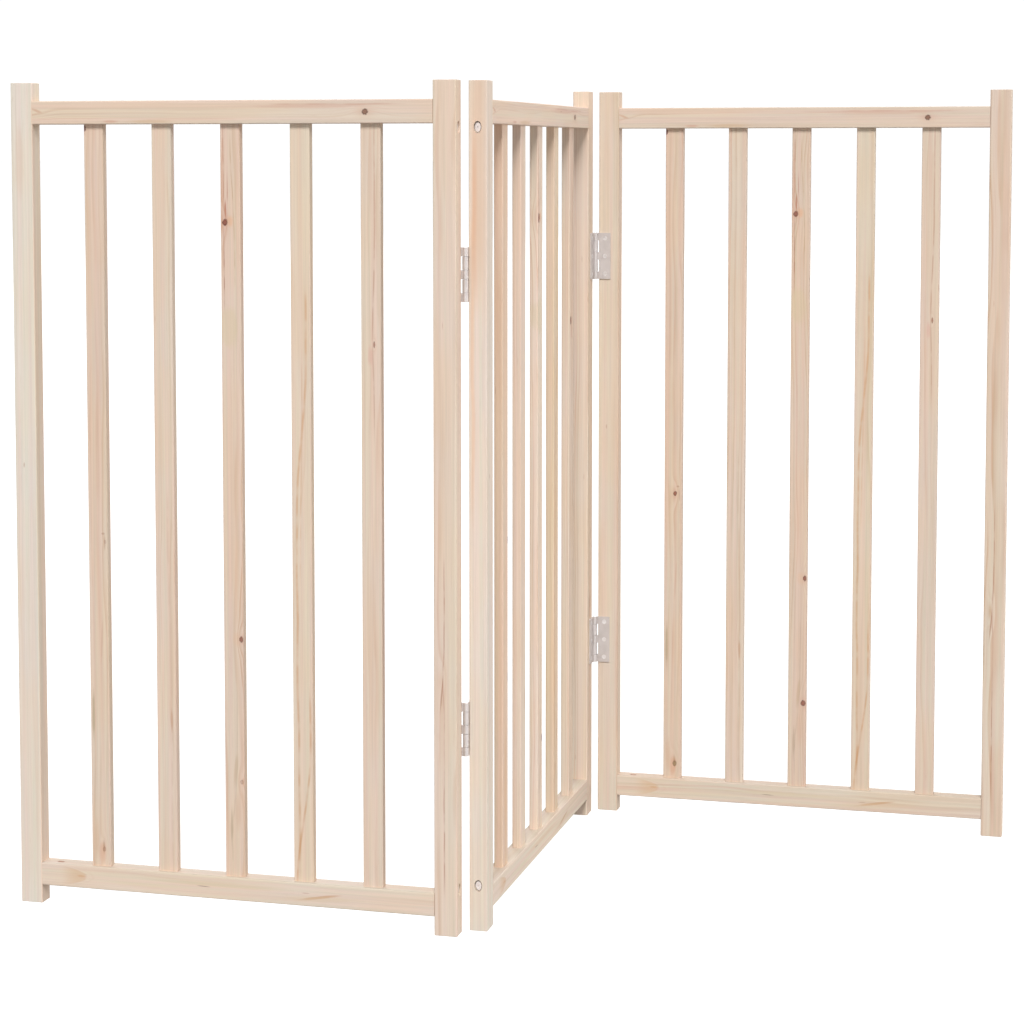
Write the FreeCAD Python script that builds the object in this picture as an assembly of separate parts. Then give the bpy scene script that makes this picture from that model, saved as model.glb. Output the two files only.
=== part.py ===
import FreeCAD, Part
import math
import os
from FreeCAD import Vector, Placement, Rotation

# Three-panel folding pet gate: three identical slatted wooden panels joined by
# two pairs of steel butt hinges. Millimetres, +Z up. The origin is on the floor,
# under the middle of the gate's bounding box as it stands half folded, with the
# outer panels parallel to X and the middle panel parallel to Y.

# ---- driving dimensions -------------------------------------------------
PANEL_W = 508.0          # one panel, over its posts
PANEL_H = 914.0          # post length, floor to top
POST_W = 25.5            # post, along the panel
FRAME_T = 20.0           # thickness of posts and rails
RAIL_H = 25.5            # rail height
RAIL_INSET = 20.5        # bottom rail above the floor, top rail's underside to match
TOP_RAIL_Z1 = 894.0      # top edge of the top rail
SLAT_W = 22.5
SLAT_T = 10.0
SLAT_COUNT = 5
SLAT_PITCH = 79.25
MORTISE_DEPTH = 10.0
MORTISE_GAP = 0.05       # all round the slat's end
MORTISE_FLOOR_GAP = 0.2
POST_EASE = 1.5          # radius on the long edges of the posts
RAIL_EASE = 1.2
SLAT_EASE = 1.3
END_EASE = 0.6           # radius round the post ends

DOWEL_D = 5.0
DOWEL_L = 30.0
DOWEL_V = (4.75, 15.25)  # two dowels side by side in each rail end
DOWEL_HOLE_SPARE = 0.5

CORNER_Z = 49.4          # middle of the screw's oval pocket, from the post's end
CORNER_TILT = 25.0       # degrees from square, towards the rail end
POCKET_W = 8.7           # oval pocket in the post's outer face
POCKET_H = 13.0
POCKET_DEPTH = 5.4
PLUG_FACE_W = 6.5        # the plug's visible face, smaller than the pocket all round
PLUG_FACE_H = 10.3
PLUG_SET_IN = 1.5        # face of the plug below the post's face
PLUG_SHOULDER = 3.6      # where the plug widens to fill the pocket
PLUG_EASE = 0.5
PLUG_DIMPLE_D = 1.8
PLUG_DIMPLE_DEPTH = 1.0
CORNER_BORE_D = 7.8
CORNER_HEAD_D = 7.4
CORNER_HEAD_TOP = 8.2    # along the screw's line, below the post's outer face
CORNER_HEAD_T = 2.4
CORNER_SHANK_D = 4.0
CORNER_SHANK_L = 38.0

HINGE_H = 58.0
HINGE_Z = (221.0, 708.8) # centres of the lower and upper hinges
LEAF_T = 1.4
LEAF_REACH = 19.0        # hinge axis to the leaf's outer edge
LEAF_NOTCH = 4.9         # hinge axis to the leaf's edge between its knuckles
LEAF_CORNER = 1.2
BARREL_D = 6.6
PIN_D = 3.6
PIN_STANDS_OUT = 0.3
PIN_RUNNING_GAP = 0.05   # radial, in the two-knuckle leaf
AXIS_OUT = 2.4           # hinge axis, out from the post's face
AXIS_BEYOND = 3.9        # hinge axis, beyond the post's outer side
KNUCKLE_L = 9.6          # each of the three knuckles
KNUCKLE_GAP = 0.3        # between neighbouring knuckles
HINGE_SCREW_U = 12.2     # hinge axis to the row of screws
HINGE_SCREW_Z = (-22.5, 0.0, 22.5)
HINGE_SCREW_D = 3.0
HINGE_SCREW_HEAD_D = 5.6
HINGE_SCREW_L = 14.75

os.makedirs("parts", exist_ok=True)

X = Vector(1, 0, 0)
Y = Vector(0, 1, 0)
Z = Vector(0, 0, 1)


def box(x0, x1, y0, y1, z0, z1):
    return Part.makeBox(x1 - x0, y1 - y0, z1 - z0, Vector(x0, y0, z0))


def along(shape, direction):
    """Straight edges that run parallel to a direction."""
    picked = []
    for e in shape.Edges:
        if len(e.Vertexes) == 2:
            d = e.Vertexes[1].Point - e.Vertexes[0].Point
            if d.Length > 1e-6 and abs(abs(d.normalize().dot(direction)) - 1) < 1e-9:
                picked.append(e)
    return picked


def at_height(shape, z):
    """Edges that lie in one horizontal plane."""
    return [e for e in shape.Edges if abs(e.BoundBox.ZMin - z) < 1e-6 and abs(e.BoundBox.ZMax - z) < 1e-6]


def moved(shape, placement):
    s = shape.copy()
    s.Placement = placement.multiply(s.Placement)
    return s


# ---- one panel in its own frame: u along X, v from front to back, z up ----
BOTTOM_RAIL_Z = (RAIL_INSET, RAIL_INSET + RAIL_H)
TOP_RAIL_Z = (TOP_RAIL_Z1 - RAIL_H, TOP_RAIL_Z1)


def post_blank(u0):
    p = box(u0, u0 + POST_W, 0, FRAME_T, 0, PANEL_H)
    p = p.makeFillet(POST_EASE, along(p, Z))
    p = p.makeFillet(END_EASE, at_height(p, 0) + at_height(p, PANEL_H))
    return p


def rail_blank(z):
    r = box(POST_W, PANEL_W - POST_W, 0, FRAME_T, z[0], z[1])
    return r.makeFillet(RAIL_EASE, along(r, X))


def slat(i, gap=0.0):
    """A slat, or the hollow that holds it when gap is above zero."""
    mid = PANEL_W / 2 + (i - (SLAT_COUNT - 1) / 2) * SLAT_PITCH
    spare = MORTISE_FLOOR_GAP if gap == 0 else 0.0
    s = box(
        mid - SLAT_W / 2 - gap,
        mid + SLAT_W / 2 + gap,
        (FRAME_T - SLAT_T) / 2 - gap,
        (FRAME_T + SLAT_T) / 2 + gap,
        BOTTOM_RAIL_Z[1] - MORTISE_DEPTH + spare,
        TOP_RAIL_Z[0] + MORTISE_DEPTH - spare,
    )
    return s.makeFillet(SLAT_EASE, along(s, Z))


def dowel(u0, u1, v, z):
    d = Part.makeCylinder(DOWEL_D / 2, u1 - u0, Vector(u0, v, z), X)
    ends = [e for e in d.Edges if e.BoundBox.XLength < 1e-6]
    return d.makeChamfer(0.5, ends)


def dowel_spots():
    for u in (POST_W, PANEL_W - POST_W):
        for z in (sum(BOTTOM_RAIL_Z) / 2, sum(TOP_RAIL_Z) / 2):
            for v in DOWEL_V:
                yield u, v, z


def cross_slot(width, thick, depth, top):
    """Cross recess cut downwards from x = top in a head whose axis is +X."""
    a = Part.makeBox(depth, width, thick, Vector(top, -width / 2, -thick / 2))
    b = Part.makeBox(depth, thick, width, Vector(top, -thick / 2, -width / 2))
    return a.fuse(b)


def corner_screw():
    """Pan-head screw on the X axis, driven towards +X; x = 0 is on the post's outer face."""
    r, t = CORNER_HEAD_D / 2, CORNER_HEAD_T
    x0 = CORNER_HEAD_TOP
    x1 = x0 + t
    x2 = x1 + CORNER_SHANK_L
    pts = [
        Vector(x0, 0, 0),
        Vector(x0 + 0.15, r * 0.45, 0),
        Vector(x0 + 0.75, r * 0.86, 0),
        Vector(x0 + 1.5, r, 0),
        Vector(x1, r, 0),
        Vector(x1, CORNER_SHANK_D / 2, 0),
        Vector(x2 - 3.0, CORNER_SHANK_D / 2, 0),
        Vector(x2, 0.3, 0),
        Vector(x2, 0, 0),
    ]
    dome = Part.Arc(pts[0], pts[1], pts[2]).toShape()
    rim = Part.Arc(pts[2], Vector(x0 + 1.1, r * 0.965, 0), pts[3]).toShape()
    rest = [Part.makeLine(pts[i], pts[i + 1]) for i in range(3, 8)]
    back = Part.makeLine(pts[8], pts[0])
    face = Part.Face(Part.Wire([dome, rim] + rest + [back]))
    s = face.revolve(Vector(0, 0, 0), X, 360)
    return s.cut(cross_slot(4.2, 1.0, 1.5, x0 - 0.2))


def corner_hole():
    """Angled counterbore below the pocket, and the hole that the screw fills."""
    x1 = CORNER_HEAD_TOP + CORNER_HEAD_T
    x2 = x1 + CORNER_SHANK_L
    bore = Part.makeCylinder(CORNER_BORE_D / 2, x1 - 1.0, Vector(1.0, 0, 0), X)
    run = Part.makeCylinder(CORNER_SHANK_D / 2, x2 - 3.0 - x1, Vector(x1, 0, 0), X)
    tip = Part.makeCone(CORNER_SHANK_D / 2, 0.3, 3.0, Vector(x2 - 3.0, 0, 0), X)
    return bore.fuse([run, tip])


def oval(w, h, x0, x1):
    """Oval bar along X from x0 to x1, h tall in Z and w wide in Y."""
    e = Part.Ellipse(Vector(0, 0, 0), h / 2, w / 2).toShape()
    e.Placement = Placement(Vector(x0, 0, 0), Rotation(Y, 90))
    return Part.Face(Part.Wire([e])).extrude(Vector(x1 - x0, 0, 0))


def pocket():
    """Oval pocket cut square into a face at x = 0."""
    return oval(POCKET_W, POCKET_H, -1.0, POCKET_DEPTH)


def plug():
    """Plug that closes the pocket: a tight shoulder behind, a smaller rounded face in front."""
    face = oval(PLUG_FACE_W, PLUG_FACE_H, PLUG_SET_IN, PLUG_SHOULDER)
    front = [e for e in face.Edges if e.BoundBox.XMax < PLUG_SET_IN + 0.01 and e.BoundBox.XLength < 0.01]
    face = face.makeFillet(PLUG_EASE, front)
    s = face.fuse(oval(POCKET_W, POCKET_H, PLUG_SHOULDER, POCKET_DEPTH))
    dimple = Part.makeCylinder(PLUG_DIMPLE_D / 2, PLUG_DIMPLE_DEPTH + 1, Vector(PLUG_SET_IN - 1, 0, 0), X)
    return s.cut(dimple)


def corner_places():
    """Where the four corner screws go: (placement of the pocket, of the screw) in the panel's frame."""
    t = CORNER_TILT
    v = FRAME_T / 2
    zb, zt = CORNER_Z, PANEL_H - CORNER_Z
    for u, z, square, tilted in (
        (0, zb, 0, t),
        (0, zt, 0, -t),
        (PANEL_W, zb, 180, 180 - t),
        (PANEL_W, zt, 180, 180 + t),
    ):
        yield Placement(Vector(u, v, z), Rotation(Y, square)), Placement(Vector(u, v, z), Rotation(Y, tilted))


# ---- hinge in its own frame: axis on Z, leaf towards +X, post face at y = -AXIS_OUT
HALF = HINGE_H / 2
THREE = [(-HALF, -HALF + KNUCKLE_L), (-KNUCKLE_L / 2, KNUCKLE_L / 2), (HALF - KNUCKLE_L, HALF)]
TWO = [
    (-HALF + KNUCKLE_L + KNUCKLE_GAP, -KNUCKLE_L / 2 - KNUCKLE_GAP),
    (KNUCKLE_L / 2 + KNUCKLE_GAP, HALF - KNUCKLE_L - KNUCKLE_GAP),
]
LEAF_Y = (-AXIS_OUT, -AXIS_OUT + LEAF_T)


def leaf(knuckles, bore_r):
    plate = box(LEAF_NOTCH, LEAF_REACH, LEAF_Y[0], LEAF_Y[1], -HALF, HALF)
    outer = [e for e in along(plate, Y) if abs(e.BoundBox.XMin - LEAF_REACH) < 1e-6]
    plate = plate.makeFillet(LEAF_CORNER, outer)
    tongues = []
    for z0, z1 in knuckles:
        tongues.append(box(PIN_D / 2 + 0.4, LEAF_NOTCH, LEAF_Y[0], LEAF_Y[1], z0, z1))
        ring = Part.makeCylinder(BARREL_D / 2, z1 - z0, Vector(0, 0, z0), Z)
        ends = [e for e in ring.Edges if e.BoundBox.ZLength < 1e-6]
        tongues.append(ring.makeFillet(0.25, ends))
    s = plate.fuse(tongues)
    s = s.cut(Part.makeCylinder(bore_r, HINGE_H + 2, Vector(0, 0, -HALF - 1), Z))
    for z in HINGE_SCREW_Z:
        hole = Part.makeCylinder(HINGE_SCREW_D / 2 + 0.1, 4, Vector(HINGE_SCREW_U, -3, z), Y)
        r = HINGE_SCREW_HEAD_D / 2 + 0.1
        sink = Part.makeCone(r - 1.3, r, 1.3, Vector(HINGE_SCREW_U, LEAF_Y[1] - 1.3, z), Y)
        s = s.cut(hole.fuse(sink))
    return s.removeSplitter()


def hinge_pin():
    p = Part.makeCylinder(PIN_D / 2, HINGE_H + 2 * PIN_STANDS_OUT, Vector(0, 0, -HALF - PIN_STANDS_OUT), Z)
    ends = [e for e in p.Edges if e.BoundBox.ZLength < 1e-6]
    return p.makeFillet(PIN_STANDS_OUT - 0.01, ends)


def hinge_screw(z, head=True):
    """Countersunk screw across the leaf, point towards -Y."""
    top = LEAF_Y[1] - 0.05
    r1, r0 = HINGE_SCREW_HEAD_D / 2, HINGE_SCREW_D / 2
    cone_h = r1 - r0
    y_tip = top - HINGE_SCREW_L
    down = Vector(0, -1, 0)
    shank = Part.makeCylinder(r0, HINGE_SCREW_L - cone_h - 2.0, Vector(HINGE_SCREW_U, top - cone_h, z), down)
    tip = Part.makeCone(r0, 0.25, 2.0, Vector(HINGE_SCREW_U, y_tip + 2.0, z), down)
    s = shank.fuse(tip)
    if head:
        cone = Part.makeCone(r1, r0, cone_h, Vector(HINGE_SCREW_U, top, z), down)
        slot = cross_slot(3.0, 0.7, 1.0, -0.9)
        slot.Placement = Placement(Vector(HINGE_SCREW_U, top, z), Rotation(Z, 90))
        s = s.fuse(cone).cut(slot)
    return s


ROT_LEFT_SIDE = Rotation(Y, 180)    # leaf runs towards -u on the back face
ROT_NONE = Rotation()               # leaf runs towards +u on the back face
ROT_HALF_TURN = Rotation(Z, 180)    # leaf runs towards -u on the front face
ROT_FLIP = Rotation(X, 180)         # leaf runs towards +u on the front face


def hinge_places(side, face):
    """Placements of a panel's two leaves: side 'start' or 'end' of u, face 'front' or 'back'."""
    u = -AXIS_BEYOND if side == "start" else PANEL_W + AXIS_BEYOND
    v = FRAME_T + AXIS_OUT if face == "back" else -AXIS_OUT
    rot = {
        ("end", "back"): ROT_LEFT_SIDE,
        ("start", "back"): ROT_NONE,
        ("end", "front"): ROT_HALF_TURN,
        ("start", "front"): ROT_FLIP,
    }[(side, face)]
    return [Placement(Vector(u, v, z), rot) for z in HINGE_Z]


def panel(left_hinges, right_hinges):
    """The wooden pieces and corner fastenings of one panel, drilled for its hinges."""
    posts = [post_blank(0), post_blank(PANEL_W - POST_W)]
    rails = [rail_blank(BOTTOM_RAIL_Z), rail_blank(TOP_RAIL_Z)]
    screws = []
    plugs = []
    for square, place in corner_places():
        hole = moved(corner_hole(), place).fuse(moved(pocket(), square))
        screws.append(moved(corner_screw(), place))
        plugs.append(moved(plug(), square))
        i = 0 if place.Base.x < PANEL_W / 2 else 1
        j = 0 if place.Base.z < PANEL_H / 2 else 1
        posts[i] = posts[i].cut(hole)
        rails[j] = rails[j].cut(hole)
    dowels = []
    for u, v, z in dowel_spots():
        dowels.append(dowel(u - DOWEL_L / 2, u + DOWEL_L / 2, v, z))
        L = DOWEL_L + 2 * DOWEL_HOLE_SPARE
        hole = Part.makeCylinder(DOWEL_D / 2, L, Vector(u - L / 2, v, z), X)
        i = 0 if u < PANEL_W / 2 else 1
        j = 0 if z < PANEL_H / 2 else 1
        posts[i] = posts[i].cut(hole)
        rails[j] = rails[j].cut(hole)
    for i in range(SLAT_COUNT):
        hollow = slat(i, MORTISE_GAP)
        rails = [r.cut(hollow) for r in rails]
    for i, places in ((0, left_hinges), (1, right_hinges)):
        for place in places:
            for z in HINGE_SCREW_Z:
                posts[i] = posts[i].cut(moved(hinge_screw(z, head=False), place))
    pieces = {
        "left_post": posts[0],
        "right_post": posts[1],
        "top_rail": rails[1],
        "bottom_rail": rails[0],
        "corner_screws": Part.makeCompound(screws),
        "corner_plugs": Part.makeCompound(plugs),
        "dowels": Part.makeCompound(dowels),
    }
    for i in range(SLAT_COUNT):
        pieces["slat_%d" % (i + 1)] = slat(i)
    return pieces


# ---- the gate as it stands: outer panels along X, middle panel along Y ----
STEP_IN = AXIS_OUT + AXIS_BEYOND          # hinge axis offsets added along one direction
P2_X = PANEL_W + AXIS_BEYOND + AXIS_OUT + FRAME_T
P2_Y = FRAME_T + AXIS_OUT + AXIS_BEYOND
P3_X = P2_X + STEP_IN
P3_Y = P2_Y + PANEL_W + STEP_IN
TOTAL_X = P3_X + PANEL_W
TOTAL_Y = P3_Y + FRAME_T
ORIGIN = Vector(-TOTAL_X / 2, -TOTAL_Y / 2, 0)

PLACES = {
    "left": Placement(ORIGIN, Rotation()),
    "middle": Placement(ORIGIN + Vector(P2_X, P2_Y, 0), Rotation(Z, 90)),
    "right": Placement(ORIGIN + Vector(P3_X, P3_Y, 0), Rotation()),
}
HINGES_ON = {
    "left": ([], hinge_places("end", "back")),
    "middle": (hinge_places("start", "back"), hinge_places("end", "front")),
    "right": (hinge_places("start", "front"), []),
}

nodes = {}
for name, place in PLACES.items():
    for piece, shape in panel(*HINGES_ON[name]).items():
        nodes["%s_panel_%s" % (name, piece)] = moved(shape, place)

leaf_three = leaf(THREE, PIN_D / 2)
leaf_two = leaf(TWO, PIN_D / 2 + PIN_RUNNING_GAP)
pin = hinge_pin()
screw_row = Part.makeCompound([hinge_screw(z) for z in HINGE_SCREW_Z])

for joint, outer, middle_side in (("left", "left", 0), ("right", "right", 1)):
    outer_side = 1 if outer == "left" else 0
    for k, level in enumerate(("lower", "upper")):
        a = PLACES[outer].multiply(HINGES_ON[outer][outer_side][k])
        b = PLACES["middle"].multiply(HINGES_ON["middle"][middle_side][k])
        base = "%s_%s_hinge" % (joint, level)
        nodes[base + "_leaf_outer"] = moved(leaf_three, a)
        nodes[base + "_leaf_middle"] = moved(leaf_two, b)
        nodes[base + "_pin"] = moved(pin, a)
        nodes[base + "_screws_outer"] = moved(screw_row, a)
        nodes[base + "_screws_middle"] = moved(screw_row, b)

if __name__ == "__main__":
    whole = None
    for name in sorted(nodes):
        shape = nodes[name]
        solids = shape.Solids
        if not solids or not all(s.isValid() and s.Volume > 0 for s in solids):
            raise RuntimeError("bad solid in " + name)
        out = solids[0] if len(solids) == 1 else Part.makeCompound(solids)
        out.exportStep("parts/%s.step" % name)
        bb = out.BoundBox
        whole = bb if whole is None else whole.united(bb)
        print("%-36s %2d solids  %9.1f mm3  x %8.2f %8.2f  y %8.2f %8.2f  z %7.2f %7.2f" % (
            name, len(solids), sum(s.Volume for s in solids),
            bb.XMin, bb.XMax, bb.YMin, bb.YMax, bb.ZMin, bb.ZMax))
    axis_a = ORIGIN + Vector(PANEL_W + AXIS_BEYOND, FRAME_T + AXIS_OUT, 0)
    axis_b = ORIGIN + Vector(P2_X + AXIS_OUT, P2_Y + PANEL_W + AXIS_BEYOND, 0)
    print("nodes", len(nodes))
    print("whole", whole)
    print("left fold axis", axis_a, "right fold axis", axis_b)
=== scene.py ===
import math

import bpy
from mathutils import Matrix, Vector

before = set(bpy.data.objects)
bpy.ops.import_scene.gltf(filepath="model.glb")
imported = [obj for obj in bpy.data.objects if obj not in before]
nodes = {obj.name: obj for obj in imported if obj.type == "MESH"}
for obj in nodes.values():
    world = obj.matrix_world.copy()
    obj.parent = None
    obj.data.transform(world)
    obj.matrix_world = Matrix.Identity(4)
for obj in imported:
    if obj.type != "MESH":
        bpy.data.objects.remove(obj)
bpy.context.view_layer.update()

scene = bpy.context.scene


# ------------------------------------------------------------------ camera
# The gate is seen from 15 degrees round to the right and from a little below its top,
# looking down by 4 degrees, with the rest of the framing left to the vertical shift.
cam_data = bpy.data.cameras.new("camera")
cam = bpy.data.objects.new("camera", cam_data)
scene.collection.objects.link(cam)
cam_data.sensor_width = 36.0
cam_data.lens = 2451.3 * 36.0 / 1024.0
cam_data.shift_x = 0.0
cam_data.shift_y = -0.18
cam_data.clip_start = 0.05
cam_data.clip_end = 1000.0
cam.location = (0.6901, -2.7534, 0.8340)
cam.rotation_euler = (math.radians(90.0 - 4.003), 0.0, math.radians(14.632))
scene.camera = cam


# ------------------------------------------------------------------ node helpers
class Net:
    """Short calls for building a node network."""

    def __init__(self, tree):
        self.t = tree
        self.x = 0

    def new(self, kind, **props):
        n = self.t.nodes.new(kind)
        self.x += 1
        n.location = (170 * (self.x % 12), -190 * (self.x // 12))
        for k, v in props.items():
            setattr(n, k, v)
        return n

    def put(self, socket, value):
        if hasattr(value, "is_output"):
            self.t.links.new(value, socket)
        elif value is not None:
            socket.default_value = value

    def math(self, op, a, b=None, c=None, clamp=False):
        n = self.new("ShaderNodeMath", operation=op, use_clamp=clamp)
        self.put(n.inputs[0], a)
        self.put(n.inputs[1], b)
        self.put(n.inputs[2], c)
        return n.outputs[0]

    def add(self, a, b):
        return self.math("ADD", a, b)

    def sub(self, a, b):
        return self.math("SUBTRACT", a, b)

    def mul(self, a, b):
        return self.math("MULTIPLY", a, b)

    def div(self, a, b):
        return self.math("DIVIDE", a, b)

    def vec(self, x, y, z):
        n = self.new("ShaderNodeCombineXYZ")
        self.put(n.inputs[0], x)
        self.put(n.inputs[1], y)
        self.put(n.inputs[2], z)
        return n.outputs[0]

    def noise(self, vector, scale=1.0, detail=2.0, rough=0.5, distortion=0.0):
        n = self.new("ShaderNodeTexNoise", noise_dimensions="3D")
        self.put(n.inputs["Vector"], vector)
        n.inputs["Scale"].default_value = scale
        n.inputs["Detail"].default_value = detail
        n.inputs["Roughness"].default_value = rough
        n.inputs["Distortion"].default_value = distortion
        return n.outputs[0]

    def ramp(self, value, lo, hi, to0=0.0, to1=1.0, smooth=True):
        n = self.new(
            "ShaderNodeMapRange",
            interpolation_type="SMOOTHSTEP" if smooth else "LINEAR",
            clamp=True,
        )
        self.put(n.inputs[0], value)
        self.put(n.inputs[1], lo)
        self.put(n.inputs[2], hi)
        self.put(n.inputs[3], to0)
        self.put(n.inputs[4], to1)
        return n.outputs[0]

    def mix(self, fac, a, b, mode="MIX"):
        n = self.new("ShaderNodeMix", data_type="RGBA", blend_type=mode)
        n.clamp_factor = True
        self.put(n.inputs[0], fac)
        self.put(n.inputs[6], a)
        self.put(n.inputs[7], b)
        return n.outputs[2]


def rgb(r, g, b):
    """sRGB 0..255 to the linear colour a shader takes."""
    def f(c):
        c /= 255.0
        return c / 12.92 if c <= 0.04045 else ((c + 0.055) / 1.055) ** 2.4
    return (f(r), f(g), f(b), 1.0)


# ------------------------------------------------------------------ fir
# Inside the group the coordinates are millimetres: x across the piece's wide
# face, y through its thickness, z along its length. Growth rings are cylinders
# about a pith line that lies outside the piece and wanders slowly.
def fir_group():
    g = bpy.data.node_groups.new("fir", "ShaderNodeTree")
    for name, kind, dv in (
        ("P", "NodeSocketVector", None),
        ("Seed", "NodeSocketFloat", 0.0),
        ("Pith across", "NodeSocketFloat", 30.0),
        ("Pith through", "NodeSocketFloat", 40.0),
        ("Ring", "NodeSocketFloat", 2.4),
        ("Wander", "NodeSocketFloat", 6.0),
        ("Bulge", "NodeSocketFloat", 0.0),
        ("Depth", "NodeSocketFloat", 1.0),
        ("Early", "NodeSocketColor", None),
        ("Late", "NodeSocketColor", None),
    ):
        s = g.interface.new_socket(name, in_out="INPUT", socket_type=kind)
        if dv is not None:
            s.default_value = dv
    for name, kind in (("Color", "NodeSocketColor"), ("Late", "NodeSocketFloat"), ("Fibre", "NodeSocketFloat")):
        g.interface.new_socket(name, in_out="OUTPUT", socket_type=kind)
    n = Net(g)
    gi = n.new("NodeGroupInput")
    go = n.new("NodeGroupOutput")
    i = gi.outputs
    sep = n.new("ShaderNodeSeparateXYZ")
    n.put(sep.inputs[0], i["P"])
    a, b, l = sep.outputs[0], sep.outputs[1], sep.outputs[2]
    so = n.mul(i["Seed"], 17.31)
    # slow wander of the pith along the length
    w1 = n.noise(n.vec(so, n.mul(l, 0.0045), 3.7), detail=1.0)
    w2 = n.noise(n.vec(n.add(so, 40.0), n.mul(l, 0.0045), 9.1), detail=1.0)
    w3 = n.noise(n.vec(n.add(so, 80.0), n.mul(l, 0.017), 5.3), detail=1.0)
    wa = n.mul(n.sub(w1, 0.5), n.mul(i["Wander"], 2.0))
    wb = n.mul(n.sub(w2, 0.5), n.mul(i["Wander"], 2.0))
    wc = n.mul(n.sub(w3, 0.5), n.mul(i["Wander"], 0.35))
    pa = n.add(n.add(n.sub(a, i["Pith across"]), wa), wc)
    pb = n.add(n.sub(b, i["Pith through"]), wb)
    r = n.math("SQRT", n.add(n.mul(pa, pa), n.mul(pb, pb)))
    # small ripples in the rings, long along the grain
    rp = n.noise(n.vec(n.add(n.mul(a, 0.10), so), n.mul(b, 0.10), n.mul(l, 0.006)), detail=2.0)
    r = n.add(r, n.mul(n.sub(rp, 0.5), 1.7))
    r = n.add(r, i["Bulge"])
    # years differ in width and in how dark their late wood is
    years = n.noise(n.vec(n.mul(r, 0.16), so, 0.0), detail=1.0)
    phase = n.add(n.div(r, i["Ring"]), n.mul(n.sub(years, 0.5), 2.8))
    fr = n.math("FRACT", phase)
    year = n.math("FLOOR", phase)
    strength = n.noise(n.vec(n.mul(year, 1.93), n.add(so, 11.0), 0.5), detail=0.0)
    strength = n.ramp(strength, 0.36, 0.72, 0.10, 1.0)
    rise = n.math("POWER", fr, 2.2)
    fall = n.ramp(fr, 0.84, 1.0, 1.0, 0.0)
    late = n.mul(n.mul(rise, fall), strength)
    # the lines fade in and out along a board
    fade = n.noise(n.vec(n.mul(a, 0.06), n.add(so, 5.0), n.mul(l, 0.007)), detail=2.0)
    late = n.mul(late, n.ramp(fade, 0.32, 0.66, 0.25, 1.15))
    late = n.mul(late, i["Depth"])
    # fibres: very long, very thin
    f1 = n.noise(n.vec(n.add(n.mul(a, 1.5), so), n.mul(b, 1.5), n.mul(l, 0.012)), detail=3.0, rough=0.6)
    f2 = n.noise(n.vec(n.add(n.mul(a, 0.40), so), n.mul(b, 0.40), n.mul(l, 0.0040)), detail=2.0)
    # broad soft stripes that run the length, pinkish beside yellowish
    s1 = n.noise(n.vec(n.add(n.mul(a, 0.17), so), n.mul(b, 0.17), n.mul(l, 0.0020)), detail=2.0)
    s2 = n.noise(n.vec(n.add(n.mul(a, 0.12), n.add(so, 31.0)), n.mul(b, 0.12), n.mul(l, 0.0030)), detail=1.0)
    # cloudy tint over the length
    c1 = n.noise(n.vec(n.add(n.mul(a, 0.030), so), n.mul(b, 0.030), n.mul(l, 0.0080)), detail=2.0)
    col = n.mix(n.math("MULTIPLY", late, 1.0, clamp=True), i["Early"], i["Late"])
    stripe = n.mix(n.ramp(s1, 0.33, 0.67, 0.0, 1.0), (0.985, 1.020, 0.985, 1.0), (1.015, 0.972, 0.975, 1.0))
    col = n.mix(1.0, col, stripe, "MULTIPLY")
    tan = n.ramp(s2, 0.50, 0.74, 0.0, 0.55)
    col = n.mix(tan, col, n.mix(1.0, i["Early"], (0.955, 0.90, 0.84, 1.0), "MULTIPLY"))
    cloud = n.mix(n.ramp(c1, 0.32, 0.70, 0.0, 1.0), (1.012, 0.985, 0.955, 1.0), (0.99, 1.005, 1.03, 1.0))
    col = n.mix(1.0, col, cloud, "MULTIPLY")
    # short dark ticks, thick in some areas and missing in others
    tk = n.noise(n.vec(n.add(n.mul(a, 1.15), so), n.mul(b, 1.15), n.mul(l, 0.055)), detail=2.0, rough=0.6)
    area = n.noise(n.vec(n.add(n.mul(a, 0.05), so), n.mul(b, 0.05), n.mul(l, 0.010)), detail=1.0)
    tick = n.mul(n.ramp(tk, 0.56, 0.74), n.ramp(area, 0.42, 0.66, 0.15, 1.0))
    col = n.mix(n.mul(tick, 0.20), col, n.mix(1.0, col, (0.80, 0.66, 0.55, 1.0), "MULTIPLY"))
    streak = n.ramp(f2, 0.30, 0.70, 0.960, 1.035)
    fine = n.ramp(f1, 0.28, 0.72, 0.965, 1.03)
    lum = n.mul(streak, fine)
    col = n.mix(1.0, col, n.vec(lum, lum, lum), "MULTIPLY")
    n.put(go.inputs["Color"], col)
    n.put(go.inputs["Late"], late)
    n.put(go.inputs["Fibre"], f1)
    return g


FIR = fir_group()
EARLY = rgb(221, 202, 185)
LATE = rgb(192, 148, 112)

# Panel frames: where u, v of each panel lie in the gate's frame, in mm.
PANEL_AT = {"left": (-524.3, -280.3, 0), "middle": (10.0, -254.0, 90), "right": (16.3, 260.3, 0)}
PW, PH, RAIL_MID_B, RAIL_MID_T = 508.0, 914.0, 33.25, 881.25


def piece_coords(n, panel, kind):
    """Coordinates in mm in the piece's own frame: across, through, along."""
    tc = n.new("ShaderNodeTexCoord")
    x0, y0, turn = PANEL_AT[panel]
    sep = n.new("ShaderNodeSeparateXYZ")
    n.put(sep.inputs[0], tc.outputs["Object"])
    X = n.mul(sep.outputs[0], 1000.0)
    Y = n.mul(sep.outputs[1], 1000.0)
    Z = n.mul(sep.outputs[2], 1000.0)
    if turn:
        u, v = n.sub(Y, y0), n.math("SUBTRACT", x0, X)
    else:
        u, v = n.sub(X, x0), n.sub(Y, y0)
    v = n.sub(v, 10.0)
    return u, v, Z


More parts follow.
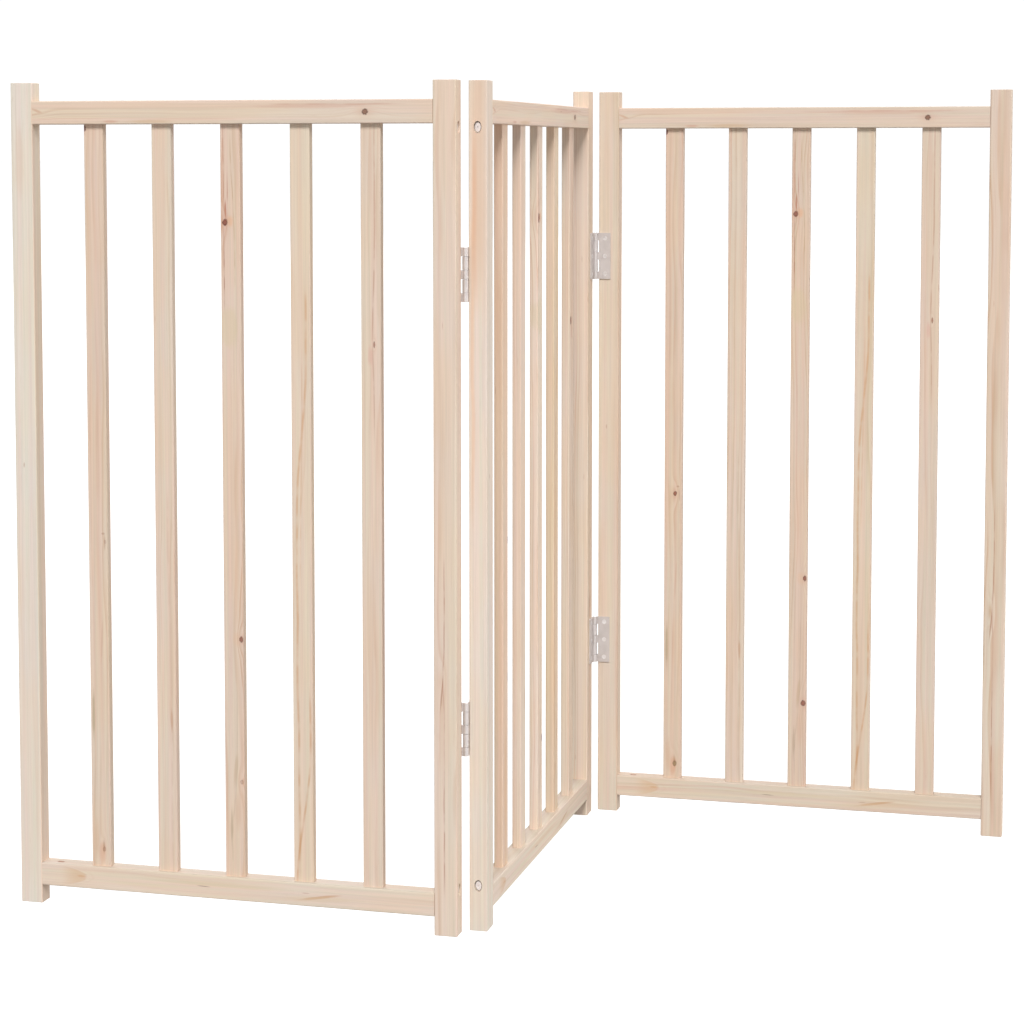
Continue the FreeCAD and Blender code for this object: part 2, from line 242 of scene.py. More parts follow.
# knots: (u, z, radius, tone, bulge, through) in the panel's frame, in mm
def knot(n, a, b, l, ka, kl, r, lean=0.0, long=1.25):
    """Returns (ring bulge, core, rim, halo) of one knot."""
    da = n.sub(a, ka)
    dl = n.sub(l, kl)
    if lean:
        da = n.sub(da, n.mul(dl, lean))
    f = 1.9 / r
    w1 = n.noise(n.vec(n.mul(a, 0.50 * f), n.mul(b, 0.10), n.mul(l, 0.40 * f)), detail=3.0, rough=0.6)
    wobble = n.mul(n.sub(w1, 0.5), 0.95)
    ax = n.div(da, r)
    lz = n.div(dl, r * long)
    d = n.math("SQRT", n.add(n.mul(ax, ax), n.mul(lz, lz)))
    d = n.add(d, wobble)
    # rings inside the knot, and a dark broken edge
    inner = n.math("SINE", n.mul(d, 19.0))
    core = n.mul(n.ramp(d, 1.15, 0.72), n.ramp(inner, -1.0, 1.0, 0.80, 1.0))
    broken = n.noise(n.vec(n.mul(a, 0.9 * f), 2.0, n.mul(l, 0.7 * f)), detail=1.0)
    rim = n.mul(n.mul(n.ramp(d, 0.50, 0.92), n.ramp(d, 1.30, 1.00)), n.ramp(broken, 0.30, 0.60, 0.25, 1.0))
    hx = n.div(da, r * 1.9)
    hz = n.div(dl, r * 4.2)
    hd = n.add(n.mul(hx, hx), n.mul(hz, hz))
    halo = n.math("POWER", 2.718, n.mul(hd, -1.6))
    bx = n.div(da, r * 2.6)
    bz = n.div(dl, r * 7.5)
    bd = n.add(n.mul(bx, bx), n.mul(bz, bz))
    bulge = n.math("POWER", 2.718, n.mul(bd, -1.0))
    return bulge, core, rim, halo


def wood(name, panel, kind, spec):
    mat = bpy.data.materials.new(name)
    mat.use_nodes = True
    nt = mat.node_tree
    nt.nodes.clear()
    n = Net(nt)
    out = n.new("ShaderNodeOutputMaterial")
    bsdf = n.new("ShaderNodeBsdfPrincipled")
    nt.links.new(bsdf.outputs[0], out.inputs[0])
    u, v, z = piece_coords(n, panel, kind)
    if kind.endswith("rail"):
        mid = RAIL_MID_T if kind.startswith("top") else RAIL_MID_B
        a, b, l = n.sub(z, mid), v, n.sub(u, PW / 2)
        to_al = lambda ku, kz: (kz - mid, ku - PW / 2)
    else:
        a, b, l = n.sub(u, spec["mid"]), v, n.sub(z, PH / 2)
        to_al = lambda ku, kz: (ku - spec["mid"], kz - PH / 2)
    bulge = None
    knots = []
    for k in spec.get("knots", []):
        ka, kl = to_al(k["u"], k["z"])
        bl, core, rim, halo = knot(n, a, b, l, ka, kl, k["r"], k.get("lean", 0.0), k.get("long", 1.25))
        if k.get("front"):  # shallow, on the front face only
            depth = n.ramp(b, -4.0 if kind.startswith("slat") else -7.0, -2.0 if kind.startswith("slat") else -3.0, 1.0, 0.0)
            core, rim, halo = n.mul(core, depth), n.mul(rim, depth), n.mul(halo, depth)
        if k.get("span"):  # a knot that only opens in the narrow face
            s0, s1 = k["span"]
            depth = n.mul(n.ramp(b, s0 - 1.0, s0), n.ramp(b, s1 + 1.0, s1))
            core, rim, halo = n.mul(core, depth), n.mul(rim, depth), n.mul(halo, depth)
        part = n.mul(bl, k.get("bulge", 3.0))
        bulge = part if bulge is None else n.add(bulge, part)
        knots.append((k, core, rim, halo))
    for s in spec.get("swirls", []):  # a bend in the grain with no knot in it
        ka, kl = to_al(s["u"], s["z"])
        bx = n.div(n.sub(a, ka), s["w"])
        bz = n.div(n.sub(l, kl), s["h"])
        part = n.mul(n.math("POWER", 2.718, n.mul(n.add(n.mul(bx, bx), n.mul(bz, bz)), -1.0)), s["bulge"])
        bulge = part if bulge is None else n.add(bulge, part)
    g = n.new("ShaderNodeGroup", node_tree=FIR)
    n.put(g.inputs["P"], n.vec(a, b, l))
    g.inputs["Seed"].default_value = spec["seed"]
    g.inputs["Pith across"].default_value = spec["pith"][0]
    g.inputs["Pith through"].default_value = spec["pith"][1]
    g.inputs["Ring"].default_value = spec.get("ring", 2.4)
    g.inputs["Wander"].default_value = spec.get("wander", 5.0)
    g.inputs["Depth"].default_value = spec.get("depth", 1.0)
    g.inputs["Early"].default_value = spec.get("early", EARLY)
    g.inputs["Late"].default_value = spec.get("late", LATE)
    if bulge is not None:
        n.put(g.inputs["Bulge"], bulge)
    col = g.outputs["Color"]
    # thin dark lines that run with the grain
    for s in spec.get("lines", []):
        # s: u, z0, z1, width, tone, sway
        ka, _ = to_al(s["u"], s["z0"]) if not kind.endswith("rail") else (s["z"] - mid, 0)
        l0 = (s["z0"] - PH / 2) if not kind.endswith("rail") else s["u0"] - PW / 2
        l1 = (s["z1"] - PH / 2) if not kind.endswith("rail") else s["u1"] - PW / 2
        sway = n.noise(n.vec(n.mul(l, 0.012), spec["seed"] + 3.0, 0.2), detail=2.0)
        if "bend" in s:
            kb, _ = to_al(s["u1"], 0)
            zb, zt = s["bend"]
            ka = n.ramp(l, zb - PH / 2, zt - PH / 2, kb, ka)
        off = n.sub(n.sub(a, ka), n.mul(n.sub(sway, 0.5), s.get("sway", 5.0)))
        if bulge is not None:
            off = n.add(off, n.mul(bulge, s.get("follow", 0.0)))
        line = n.ramp(n.math("ABSOLUTE", off), s["w"] * 1.6, s["w"] * 0.25)
        ends = n.mul(n.ramp(l, l0 - 18.0, l0 + 18.0), n.ramp(l, l1 + 18.0, l1 - 18.0))
        brk = n.noise(n.vec(n.mul(l, 0.045), spec["seed"], 7.0), detail=2.0)
        line = n.mul(n.mul(line, ends), n.ramp(brk, 0.28, 0.6, 0.25, 1.0))
        if s.get("front", True):
            side = n.ramp(b, -3.6 if kind.startswith("slat") else -6.0, -1.0 if kind.startswith("slat") else -2.0, 1.0, 0.0)
            line = n.mul(line, side)
        col = n.mix(n.mul(line, s.get("tone", 0.6)), col, rgb(*s.get("rgb", (150, 100, 76))))
    for t in spec.get("tongues", []):  # pointed figure where the saw cut through the top of a ring
        ka, kl = to_al(t["u"], t["z"])
        da, dl = n.sub(a, ka), n.sub(l, kl)
        rag = n.noise(n.vec(n.mul(a, 0.25), spec["seed"], n.mul(l, 0.05)), detail=2.0)
        d = n.add(n.add(dl, n.mul(n.mul(da, da), t["c"])), n.mul(n.sub(rag, 0.5), 7.0))
        inside = n.mul(n.ramp(d, 2.0, -3.0), n.ramp(dl, -t["long"], -t["long"] * 0.3))
        col = n.mix(n.mul(inside, t["tone"]), col, rgb(*t["rgb"]))
        for k, g0 in ((0.0, 0.16), (9.0, 0.07)):
            e = n.ramp(n.math("ABSOLUTE", n.sub(d, k)), 2.6, 0.4)
            e = n.mul(e, n.ramp(dl, -t["long"] * 1.2, -t["long"] * 0.2))
            e = n.mul(e, n.ramp(n.math("ABSOLUTE", da), 12.5, 9.0))
            col = n.mix(n.mul(e, g0), col, rgb(196, 148, 110))
    for p in spec.get("patches", []):  # soft tinted areas
        ka, kl = to_al(p["u"], p["z"])
        dx, dz = n.sub(a, ka), n.sub(l, kl)
        if p.get("lean"):
            dx = n.sub(dx, n.mul(dz, p["lean"]))
        px = n.div(dx, p["w"])
        pz = n.div(dz, p["h"])
        d = n.math("SQRT", n.add(n.mul(px, px), n.mul(pz, pz)))
        d = n.add(d, n.mul(n.sub(n.noise(n.vec(n.mul(a, 0.35), n.mul(b, 0.1), n.mul(l, 0.07)), detail=2.0), 0.5), 0.6))
        m = n.ramp(d, 1.15, p.get("soft", 0.35))
        if p.get("front"):
            m = n.mul(m, n.ramp(b, -4.0 if kind.startswith("slat") else -7.0, -2.0 if kind.startswith("slat") else -3.0, 1.0, 0.0))
        col = n.mix(n.mul(m, p.get("tone", 0.5)), col, rgb(*p["rgb"]))
    if "top_face_painted_shade" in spec:  # painted shade: the upward face is multiplied darker, as if it caught less light from above
        m = n.ramp(a, 11.8, 12.6, 0.0, 1.0)
        col = n.mix(m, col, n.mix(1.0, col, spec["top_face_painted_shade"], "MULTIPLY"))
    if "inner_side_tone_and_shade" in spec:  # the face towards the slats is tinted browner below the top rail: partly the post's own colour, partly painted warm shade from the slats beside it
        m = n.mul(n.ramp(a, 11.4, 12.5, 0.0, 1.0), n.ramp(z, 902.0, 888.0, 0.15, 1.0))
        w = n.noise(n.vec(1.0, n.mul(b, 0.22), n.mul(l, 0.004)), detail=2.0)
        m = n.mul(m, n.ramp(w, 0.30, 0.65, 0.55, 1.0))
        col = n.mix(n.mul(m, 0.85), col, n.mix(1.0, col, spec["inner_side_tone_and_shade"], "MULTIPLY"))
    for st in spec.get("outer_streaks", []):  # resinous streaks in the outer side
        lean = n.noise(n.vec(3.0, spec["seed"], n.mul(l, 0.008)), detail=1.0)
        d = n.math("ABSOLUTE", n.sub(n.sub(b, st["v"]), n.mul(n.sub(lean, 0.5), 9.0)))
        m = n.mul(n.ramp(d, st["w"], st["w"] * 0.15), n.ramp(a, -11.0, -12.4, 0.0, 1.0))
        m = n.mul(m, n.mul(n.ramp(z, st["z0"] - 40, st["z0"] + 60), n.ramp(z, st["z1"] + 40, st["z1"] - 60)))
        col = n.mix(n.mul(m, st["tone"]), col, rgb(*st["rgb"]))
    for k, core, rim, halo in knots:
        t = k.get("tone", 1.0)
        col = n.mix(n.mul(halo, 0.34 * t), col, rgb(*k.get("halo", (196, 150, 122))))
        col = n.mix(n.mul(core, 0.92 * t), col, rgb(*k.get("rgb", (140, 84, 62))))
        col = n.mix(n.mul(rim, 0.65 * t), col, rgb(*k.get("rim", (92, 50, 38))))
    # tiny dark resin flecks, drawn out along the grain
    vo = n.new("ShaderNodeTexVoronoi", feature="F1")
    n.put(vo.inputs["Vector"], n.vec(n.add(n.mul(a, 0.11), spec["seed"] * 3.1), n.mul(b, 0.11), n.mul(l, 0.012)))
    vo.inputs["Scale"].default_value = 1.0
    fl = n.ramp(vo.outputs["Distance"], 0.075, 0.03)
    pick = n.new("ShaderNodeSeparateColor")
    n.put(pick.inputs[0], vo.outputs["Color"])
    fl = n.mul(fl, n.ramp(pick.outputs[0], 0.62, 0.80))
    col = n.mix(n.mul(fl, 0.42), col, rgb(168, 118, 90))
    n.put(bsdf.inputs["Base Color"], col)
    rough = n.add(n.ramp(g.outputs["Fibre"], 0.3, 0.7, 0.60, 0.72), n.mul(g.outputs["Late"], -0.08))
    n.put(bsdf.inputs["Roughness"], rough)
    bsdf.inputs["Specular IOR Level"].default_value = 0.35
    h = n.add(n.mul(g.outputs["Fibre"], 0.55), n.mul(g.outputs["Late"], 0.35))
    for k, core, rim, halo in knots:
        h = n.sub(h, n.mul(rim, 0.5 * k.get("tone", 1.0)))
    bump = n.new("ShaderNodeBump")
    bump.inputs["Strength"].default_value = 0.30
    bump.inputs["Distance"].default_value = 0.00025
    n.put(bump.inputs["Height"], h)
    n.put(bsdf.inputs["Normal"], bump.outputs[0])
    return mat


RED_KNOT = dict(rgb=(132, 72, 56), rim=(78, 38, 32), halo=(198, 142, 120))
SLAT_MIDS = [254.0 + (i - 2) * 79.25 for i in range(5)]
SPECS = {
    "left_post": dict(mid=12.75, seed=1.3, pith=(-60, 55), ring=3.4, wander=3, depth=0.40,
                      # the inner-side factor is partly the post's own colour, partly painted shade from the slats
                      early=rgb(224, 212, 199), late=rgb(202, 178, 150), inner_side_tone_and_shade=(1.05, 0.95, 0.86, 1.0),
                      outer_streaks=[dict(v=3.5, w=4.2, z0=700, z1=860, tone=0.80, rgb=(216, 160, 120)),
                                     dict(v=6.5, w=3.2, z0=440, z1=740, tone=0.42, rgb=(222, 178, 142)),
                                     dict(v=-1.0, w=13.0, z0=690, z1=980, tone=0.70, rgb=(217, 188, 164))],
                      patches=[dict(u=10.5, z=493, w=1.1, h=3.5, rgb=(176, 140, 118), tone=0.55),
                               dict(u=10.0, z=830, w=6.0, h=46, rgb=(214, 190, 170), tone=0.45)]),
    "right_post": dict(mid=495.25, seed=2.6, pith=(20, 60), ring=2.9, wander=4, depth=0.80,
                       early=rgb(222, 204, 187),
                       lines=[dict(u=494.2, z0=55, z1=400, w=0.70, tone=0.62, sway=2.4, follow=0.5, rgb=(172, 118, 98))],
                       swirls=[dict(u=492, z=278, w=5, h=22, bulge=3.6)],
                       patches=[dict(u=491.4, z=262, w=1.1, h=22, lean=0.09, rgb=(160, 106, 80), tone=0.66),
                                dict(u=496, z=230, w=6, h=90, rgb=(222, 194, 174), tone=0.35)]),
    "top_rail": dict(seed=3.9, pith=(44, 34), ring=3.0, wander=5, depth=0.55, early=rgb(220, 201, 184),
                     knots=[dict(u=408, z=880.8, r=2.9, tone=1.0, bulge=4.2, long=1.1, rgb=(120, 78, 58), rim=(72, 42, 36), halo=(196, 146, 120))],
                     swirls=[dict(u=26, z=882, w=9, h=20, bulge=-5.0)],
                     patches=[dict(u=31, z=883.5, w=2.0, h=8, lean=-0.35, rgb=(196, 148, 118), tone=0.55, soft=0.2),
                              dict(u=29, z=879.5, w=1.4, h=8, lean=0.30, rgb=(200, 156, 126), tone=0.28, soft=0.2),
                              dict(u=165, z=871.5, w=2.4, h=30, rgb=(200, 166, 124), tone=0.40),
                              dict(u=118, z=871.5, w=1.8, h=10, rgb=(196, 140, 118), tone=0.45),
                              dict(u=350, z=887, w=3.0, h=70, rgb=(206, 166, 146), tone=0.40)],
                     lines=[dict(z=889.0, u0=310, u1=440, w=0.9, tone=0.40, sway=3.0, rgb=(190, 136, 116))]),
    # the factor on the rail's upward face below is painted shade
    "bottom_rail": dict(top_face_painted_shade=(0.80, 0.815, 0.825, 1.0), seed=4.4, pith=(-36, 40), ring=4.4, wander=6, depth=0.50, early=rgb(222, 205, 188),
                        knots=[dict(u=45, z=46.0, r=1.6, tone=0.90, bulge=1.0, long=2.0, span=(-3.5, 0.5), rgb=(150, 104, 80), rim=(116, 78, 60))],
                        tongues=[dict(u=79, z=33.5, c=0.24, long=34, tone=0.50, rgb=(209, 172, 132))],
                        patches=[dict(u=73, z=34.0, w=1.8, h=6, rgb=(200, 152, 112), tone=0.50, soft=0.2),
                                 dict(u=218.5, z=33.6, w=0.55, h=9.0, lean=-0.03, rgb=(124, 92, 78), tone=0.75, soft=0.3),
                                 dict(u=352, z=31.0, w=1.9, h=27, lean=0.17, rgb=(196, 150, 112), tone=0.68, soft=0.45),
                                 dict(u=352, z=29.0, w=3.6, h=60, lean=0.05, rgb=(214, 190, 156), tone=0.35),
                                 dict(u=240, z=36, w=2.6, h=90, rgb=(212, 190, 152), tone=0.35),
                                 dict(u=150, z=30, w=3.0, h=60, rgb=(216, 200, 166), tone=0.35)],
                        ),
    "slat_1": dict(mid=SLAT_MIDS[0], seed=5.2, pith=(22, 52), ring=2.0, wander=2.5, depth=0.55,
                   early=rgb(219, 198, 180),
                   knots=[dict(u=99.0, z=65, r=1.7, tone=0.45, bulge=4.4, long=1.5, rgb=(150, 108, 80), rim=(116, 84, 62), halo=(210, 158, 128)),
                          dict(u=84.6, z=864, r=2.0, tone=0.95, bulge=1.5, long=1.8, rgb=(110, 60, 56), rim=(60, 28, 32), halo=(196, 140, 128)),
                          dict(u=104.0, z=410, r=1.2, tone=0.22, bulge=0.7, long=1.6, **RED_KNOT)],
                   patches=[dict(u=97.0, z=62, w=5.0, h=14, rgb=(212, 162, 132), tone=0.50), dict(u=98.6, z=68, w=1.9, h=10, rgb=(156, 114, 84), tone=0.50, soft=0.1),
                            dict(u=90, z=78, w=4.0, h=24, rgb=(206, 166, 134), tone=0.35), dict(u=87.9, z=214, w=1.8, h=34, rgb=(164, 146, 112), tone=0.60),
                            dict(u=101.6, z=419, w=2.4, h=1.6, rgb=(172, 132, 112), tone=0.55), dict(u=103.6, z=409, w=0.8, h=10, rgb=(172, 132, 112), tone=0.55),
                            dict(u=99.0, z=300, w=1.2, h=30, lean=0.05, rgb=(200, 158, 132), tone=0.40)],
                   lines=[dict(u=97, z0=470, z1=560, w=0.5, tone=0.15, sway=2.0, rgb=(190, 140, 112))]),
    "slat_2": dict(mid=SLAT_MIDS[1], seed=6.7, pith=(-38, 40), ring=2.5, wander=3, depth=0.62,
                   swirls=[dict(u=177, z=224, w=6, h=24, bulge=2.6)],
                   patches=[dict(u=181.0, z=214, w=1.9, h=15, rgb=(186, 140, 110), tone=0.48)],
                   lines=[dict(u=178.0, u1=181.0, bend=(220, 420), z0=60, z1=460, w=1.2, tone=0.26, sway=3.0, rgb=(186, 150, 124))]),
    "slat_3": dict(mid=SLAT_MIDS[2], seed=7.1, pith=(24, 34), ring=2.2, wander=5, depth=0.78,
                   early=rgb(220, 198, 180),
                   knots=[dict(u=247.8, z=763, r=2.9, tone=1.0, bulge=3.8, long=1.15, **RED_KNOT),
                          dict(u=262.8, z=309, r=1.9, tone=0.95, bulge=-2.4, long=1.7, **RED_KNOT),
                          dict(u=262.4, z=151.5, r=2.0, tone=0.35, bulge=-3.2, **RED_KNOT)],
                   patches=[dict(u=248.3, z=777, w=1.2, h=12, rgb=(172, 104, 80), tone=0.72),
                            dict(u=253.5, z=764, w=4.6, h=7, rgb=(222, 172, 132), tone=0.55),
                            dict(u=251.0, z=650, w=11, h=24, rgb=(208, 192, 152), tone=0.34, soft=0.7),
                            dict(u=257.5, z=309, w=5, h=9, rgb=(220, 180, 148), tone=0.32),
                            dict(u=250.3, z=100, w=1.9, h=24, rgb=(170, 148, 122), tone=0.50),
                            dict(u=255.8, z=165, w=2.6, h=24, lean=0.08, rgb=(188, 160, 128), tone=0.45),
                            dict(u=244.6, z=800, w=1.6, h=60, rgb=(204, 158, 134), tone=0.45),
                            dict(u=258, z=120, w=4, h=26, rgb=(206, 170, 146), tone=0.40)],
                   lines=[dict(u=246.4, z0=675, z1=752, w=0.55, tone=0.70, sway=1.6, rgb=(150, 88, 70)),
                          dict(u=246.2, z0=775, z1=868, w=0.60, tone=0.65, sway=1.6, rgb=(170, 112, 86)),
                          dict(u=254.5, u1=258.5, bend=(740, 840), z0=700, z1=850, w=0.6, tone=0.45, sway=3.0, rgb=(176, 140, 92)),
                          dict(u=257.5, u1=251.5, bend=(80, 180), z0=50, z1=260, w=0.8, tone=0.24, sway=3.0, rgb=(164, 136, 112)),
                          dict(u=250.5, z0=778, z1=812, w=0.5, tone=0.55, sway=2.0, rgb=(160, 88, 70))]),
    "slat_4": dict(mid=SLAT_MIDS[3], seed=8.8, pith=(-15, 44), ring=3.2, wander=6, depth=0.62,
                   early=rgb(221, 203, 184), late=rgb(196, 162, 116),
                   lines=[dict(u=SLAT_MIDS[3] + 5.5, u1=SLAT_MIDS[3] - 5.5, bend=(450, 610), z0=330, z1=690, w=1.35, tone=0.55, sway=3.0, rgb=(200, 148, 104)),
                          dict(u=SLAT_MIDS[3] - 5.5, u1=SLAT_MIDS[3] - 4.0, bend=(60, 300), z0=60, z1=340, w=1.35, tone=0.52, sway=4.0, rgb=(194, 144, 102)),
                          dict(u=SLAT_MIDS[3] + 1.0, u1=SLAT_MIDS[3] - 1.5, bend=(420, 560), z0=380, z1=620, w=0.9, tone=0.35, sway=2.5, rgb=(200, 156, 114)),
                          dict(u=SLAT_MIDS[3] + 8.5, u1=SLAT_MIDS[3] - 7.5, bend=(40, 190), z0=30, z1=250, w=1.2, tone=0.55, sway=2.0, rgb=(194, 142, 98))]),
    "slat_5": dict(mid=SLAT_MIDS[4], seed=9.5, pith=(16, 56), ring=2.2, wander=3, depth=0.46,
                   knots=[dict(u=416.0, z=634, r=0.95, tone=0.80, bulge=2.4, long=3.4, rgb=(150, 96, 78), rim=(96, 56, 46))],
                   patches=[dict(u=411.5, z=622, w=3.4, h=12, rgb=(214, 172, 156), tone=0.55),
                            dict(u=412, z=820, w=3.0, h=60, rgb=(212, 178, 158), tone=0.40)],
                   lines=[dict(u=416.4, u1=414.2, bend=(650, 760), z0=640, z1=868, w=0.85, tone=0.52, sway=3.0, rgb=(178, 128, 102)),
                          dict(u=414.2, u1=416.0, bend=(560, 630), z0=540, z1=636, w=0.75, tone=0.45, sway=2.0, rgb=(178, 128, 102))]),
}
# The three panels come from different boards, so a few marks are stronger in one of them.
OVERRIDE = {
    ("right", "left_post"): dict(early=rgb(219, 203, 187), late=rgb(196, 166, 136), depth=0.5),
    ("right", "slat_1"): {"knots_at": {0: dict(tone=0.80, r=2.4, rgb=(128, 112, 70)), 2: dict(u=98.0, tone=1.0, r=2.1, bulge=3.0, long=1.25)}},
    ("middle", "slat_1"): {"early": rgb(219, 194, 173), "knots_at": {0: dict(tone=0.0), 1: dict(tone=0.0), 2: dict(u=104.6, tone=1.2, r=0.9, long=4.2)},
                           "patches": [dict(u=104.6, z=256, w=0.9, h=9, rgb=(96, 62, 50), tone=0.85), dict(u=96, z=130, w=6, h=110, rgb=(210, 164, 124), tone=0.45)]},
    ("middle", "left_post"): dict(early=rgb(219, 207, 194)),
    ("middle", "right_post"): {"patches": [dict(u=491.4, z=268, w=1.3, h=20, lean=0.09, rgb=(128, 78, 58), tone=0.85)]},
    ("right", "slat_3"): {"knots_at": {1: dict(tone=1.0, u=262.6), 2: dict(tone=1.0, r=2.7, u=261.9)}},
    ("middle", "slat_3"): {"early": rgb(225, 207, 191), "knots_at": {0: dict(tone=1.25, r=2.8, long=1.8), 1: dict(tone=0.0), 2: dict(tone=1.0, r=1.7, long=2.4)}},
    ("middle", "slat_5"): {"knots_at": {0: dict(u=409.0, tone=1.4, r=2.3, long=2.0)}},
    ("left", "slat_3"): {"knots_at": {0: dict(tone=1.1)}},
    ("middle", "slat_4"): dict(early=rgb(220, 198, 174)),
}
PANEL_SHIFT = {"left": 0.0, "middle": 0.37, "right": 0.11}
# painted light and shade per panel: the middle panel, turned to the right-hand light, is painted brighter, the right
# panel darker
PANEL_PAINTED_LIGHT = {"left": 1.0, "middle": 1.045, "right": 0.962}

for panel in ("left", "middle", "right"):
    for kind, spec in SPECS.items():
        s = dict(spec)
        s["seed"] = spec["seed"] + PANEL_SHIFT[panel]
        over = dict(OVERRIDE.get((panel, kind), {}))
        moved = over.pop("knots_at", {})
        s.update(over)
        for key, usual in (("early", EARLY), ("late", LATE)):  # each panel's copy of the wood is painted brighter or darker for the light that reaches it: painted light and shade
            s[key] = tuple(c * PANEL_PAINTED_LIGHT[panel] for c in s.get(key, usual)[:3]) + (1.0,)
        if moved:
            s["knots"] = [dict(k, **moved.get(i, {})) for i, k in enumerate(s["knots"])]
        name = f"{panel}_panel_{kind}"
        m = wood("fir_" + name, panel, kind, s)
        o = nodes[name]
        o.data.materials.clear()
        o.data.materials.append(m)


# ------------------------------------------------------------------ dowels
def plain_wood(name):
    mat = bpy.data.materials.new(name)
    mat.use_nodes = True
    nt = mat.node_tree
    n = Net(nt)
    bsdf = nt.nodes["Principled BSDF"]
    tc = n.new("ShaderNodeTexCoord")
    mp = n.new("ShaderNodeMapping")
    mp.inputs["Scale"].default_value = (40, 900, 900)
    n.put(mp.inputs["Vector"], tc.outputs["Object"])
    f = n.noise(mp.outputs[0], detail=3.0)
    n.put(bsdf.inputs["Base Color"], n.mix(f, rgb(224, 204, 172), rgb(200, 172, 134)))
    n.put(bsdf.inputs["Roughness"], n.ramp(f, 0.3, 0.7, 0.6, 0.75))
    return mat


DOWEL = plain_wood("beech_dowel")


# ------------------------------------------------------------------ plugs
def moulded(name):
    """White moulded plastic: satin, with the faintest orange peel."""
    mat = bpy.data.materials.new(name)
    mat.use_nodes = True
    nt = mat.node_tree
    n = Net(nt)
    bsdf = nt.nodes["Principled BSDF"]
    tc = n.new("ShaderNodeTexCoord")
    mp = n.new("ShaderNodeMapping")
    mp.inputs["Scale"].default_value = (1000, 1000, 1000)
    n.put(mp.inputs["Vector"], tc.outputs["Object"])
    soft = n.noise(mp.outputs[0], scale=0.35, detail=2.0)
    fine = n.noise(mp.outputs[0], scale=3.2, detail=2.0)
    n.put(bsdf.inputs["Base Color"], n.mix(n.ramp(soft, 0.3, 0.7), rgb(222, 212, 208), rgb(230, 221, 217)))
    n.put(bsdf.inputs["Roughness"], n.ramp(fine, 0.3, 0.7, 0.34, 0.46))
    bump = n.new("ShaderNodeBump")
    bump.inputs["Strength"].default_value = 0.15
    bump.inputs["Distance"].default_value = 0.00008
    n.put(bump.inputs["Height"], fine)
    n.put(bsdf.inputs["Normal"], bump.outputs[0])
    return mat


PLUG = moulded("white_plug")


# ------------------------------------------------------------------ metal
def steel(name, base, rough, scale):
    """Bright zinc plate: faint cloudiness, fine scuffs and tiny pits."""
    mat = bpy.data.materials.new(name)
    mat.use_nodes = True
    nt = mat.node_tree
    n = Net(nt)
    bsdf = nt.nodes["Principled BSDF"]
    tc = n.new("ShaderNodeTexCoord")
    mp = n.new("ShaderNodeMapping")
    mp.inputs["Scale"].default_value = (scale, scale, scale)
    n.put(mp.inputs["Vector"], tc.outputs["Object"])
    cloud = n.noise(mp.outputs[0], scale=0.12, detail=3.0)
    grit = n.noise(mp.outputs[0], scale=2.4, detail=2.0)
    st = n.new("ShaderNodeMapping")
    st.inputs["Scale"].default_value = (scale * 2.2, scale * 2.2, scale * 0.10)
    n.put(st.inputs["Vector"], tc.outputs["Object"])
    scuff = n.noise(st.outputs[0], detail=2.0, rough=0.6)
    c0 = tuple(c * 0.955 for c in base[:3]) + (1.0,)
    c1 = tuple(min(1.0, c * 1.04) for c in base[:3]) + (1.0,)
    n.put(bsdf.inputs["Base Color"], n.mix(n.ramp(cloud, 0.3, 0.7), c0, c1))
    r = n.add(n.ramp(cloud, 0.3, 0.7, rough - 0.05, rough + 0.06), n.ramp(scuff, 0.35, 0.75, -0.03, 0.05))
    n.put(bsdf.inputs["Roughness"], r)
    bsdf.inputs["Metallic"].default_value = 0.62
    bump = n.new("ShaderNodeBump")
    bump.inputs["Strength"].default_value = 0.06
    bump.inputs["Distance"].default_value = 0.0001
    n.put(bump.inputs["Height"], n.add(n.mul(grit, 0.5), n.mul(scuff, 0.25)))
    n.put(bsdf.inputs["Normal"], bump.outputs[0])
    return mat


LEAF = steel("zinc_leaf", rgb(205, 198, 195), 0.50, 900.0)
PIN = steel("zinc_pin", rgb(206, 205, 208), 0.40, 1200.0)
SCREW = steel("zinc_screw", rgb(232, 229, 229), 0.34, 1400.0)

for name, o in nodes.items():
    if name.endswith("dowels"):
        m = DOWEL
    elif name.endswith("corner_plugs"):
        m = PLUG
    elif "hinge" in name or name.endswith("corner_screws"):
        m = LEAF if "leaf" in name else PIN if name.endswith("pin") else SCREW
    else:
        continue
    o.data.materials.clear()
    o.data.materials.append(m)


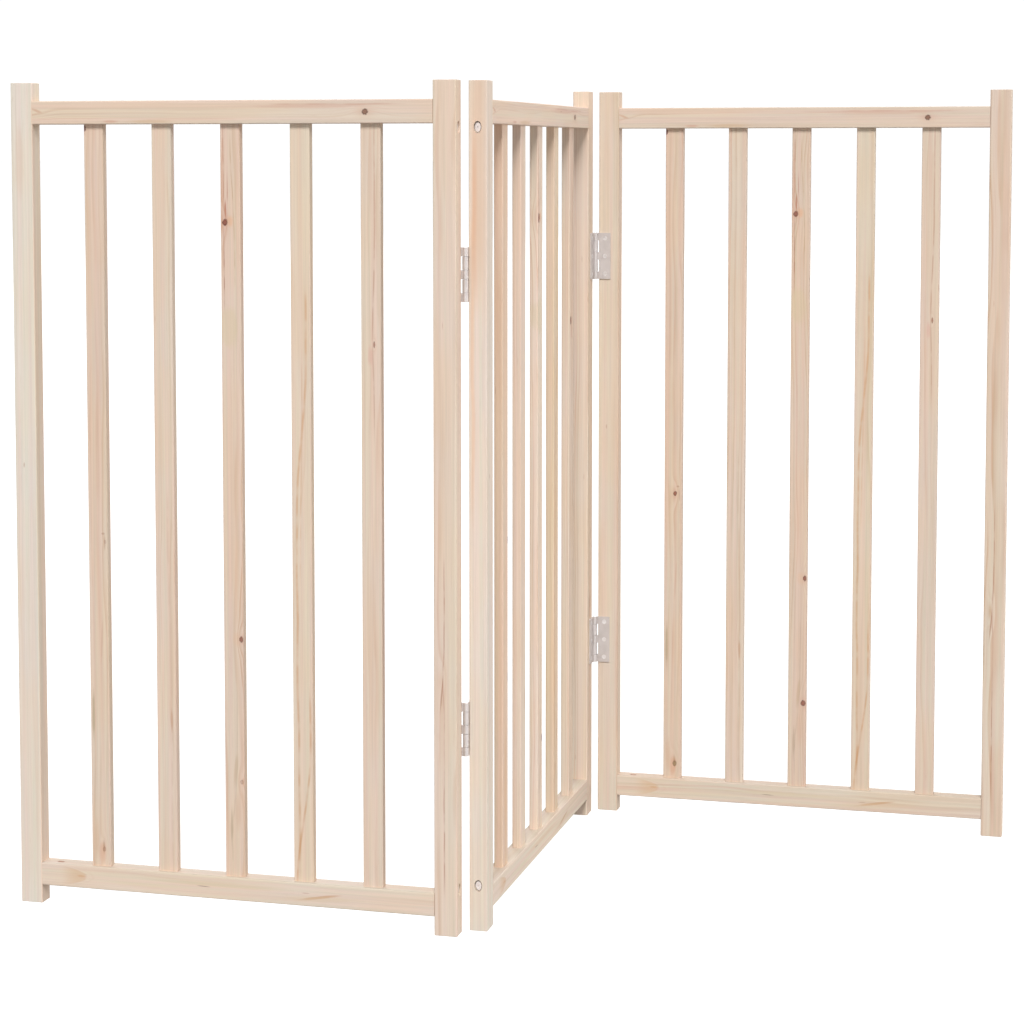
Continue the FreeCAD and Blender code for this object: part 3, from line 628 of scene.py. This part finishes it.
# ------------------------------------------------------------------ floor
def floor():
    bpy.ops.mesh.primitive_circle_add(vertices=96, radius=400.0, fill_type="NGON", location=(0, 0, 0))
    o = bpy.context.object
    o.name = "floor"
    mat = bpy.data.materials.new("pale_floor")
    mat.use_nodes = True
    nt = mat.node_tree
    nt.nodes.clear()
    n = Net(nt)
    out = n.new("ShaderNodeOutputMaterial")
    d = n.new("ShaderNodeBsdfDiffuse")
    d.inputs["Color"].default_value = (0.30, 0.30, 0.30, 1)
    e = n.new("ShaderNodeEmission")
    e.inputs["Color"].default_value = (1, 1, 1, 1)
    e.inputs["Strength"].default_value = 0.93
    s = n.new("ShaderNodeAddShader")
    nt.links.new(d.outputs[0], s.inputs[0])
    nt.links.new(e.outputs[0], s.inputs[1])
    nt.links.new(s.outputs[0], out.inputs[0])
    o.data.materials.append(mat)
    o.visible_diffuse = False
    o.visible_shadow = False
    return o


floor()


# ------------------------------------------------------------------ light
world = bpy.data.worlds.new("studio")
scene.world = world
world.use_nodes = True
wt = world.node_tree
wt.nodes.clear()
wn = Net(wt)
wout = wn.new("ShaderNodeOutputWorld")
bg = wn.new("ShaderNodeBackground")
tc = wn.new("ShaderNodeTexCoord")
sp = wn.new("ShaderNodeSeparateXYZ")
wn.put(sp.inputs[0], tc.outputs["Generated"])
up = wn.ramp(sp.outputs[2], 0.10, 0.26, 1.05, 0.27)
down = wn.ramp(sp.outputs[2], -0.02, -0.06, 0.0, 1.0)
lum = wn.add(wn.mul(up, wn.sub(1.0, down)), wn.mul(down, 0.33))
wn.put(bg.inputs["Strength"], lum)
bg.inputs["Color"].default_value = (1, 1, 1, 1)
wt.links.new(bg.outputs[0], wout.inputs[0])


def aim(o, target):
    d = Vector(target) - o.location
    o.rotation_euler = d.to_track_quat("-Z", "Y").to_euler()


def softbox(name, azimuth, elevation, distance, size, irradiance, target=(0, 0, 0.45)):
    """A round area light that gives about this irradiance (over pi) at the target."""
    a, e = math.radians(azimuth), math.radians(elevation)
    pos = Vector(target) + distance * Vector((math.sin(a) * math.cos(e), -math.cos(a) * math.cos(e), math.sin(e)))
    ld = bpy.data.lights.new(name, "AREA")
    ld.shape = "DISK"
    ld.size = size
    ld.energy = irradiance * math.pi * distance ** 2 * math.pi
    o = bpy.data.objects.new(name, ld)
    scene.collection.objects.link(o)
    o.location = pos
    aim(o, target)
    return o


softbox("key", 15.0, 48.0, 30.0, 11.0, 0.98)
softbox("right_fill", 102.0, 14.0, 16.0, 11.0, 0.40)
softbox("back_fill", 200.0, 35.0, 20.0, 12.0, 0.42)

scene.view_settings.view_transform = "Standard"
scene.view_settings.look = "None"
scene.view_settings.exposure = 0.0
scene.view_settings.gamma = 1.0
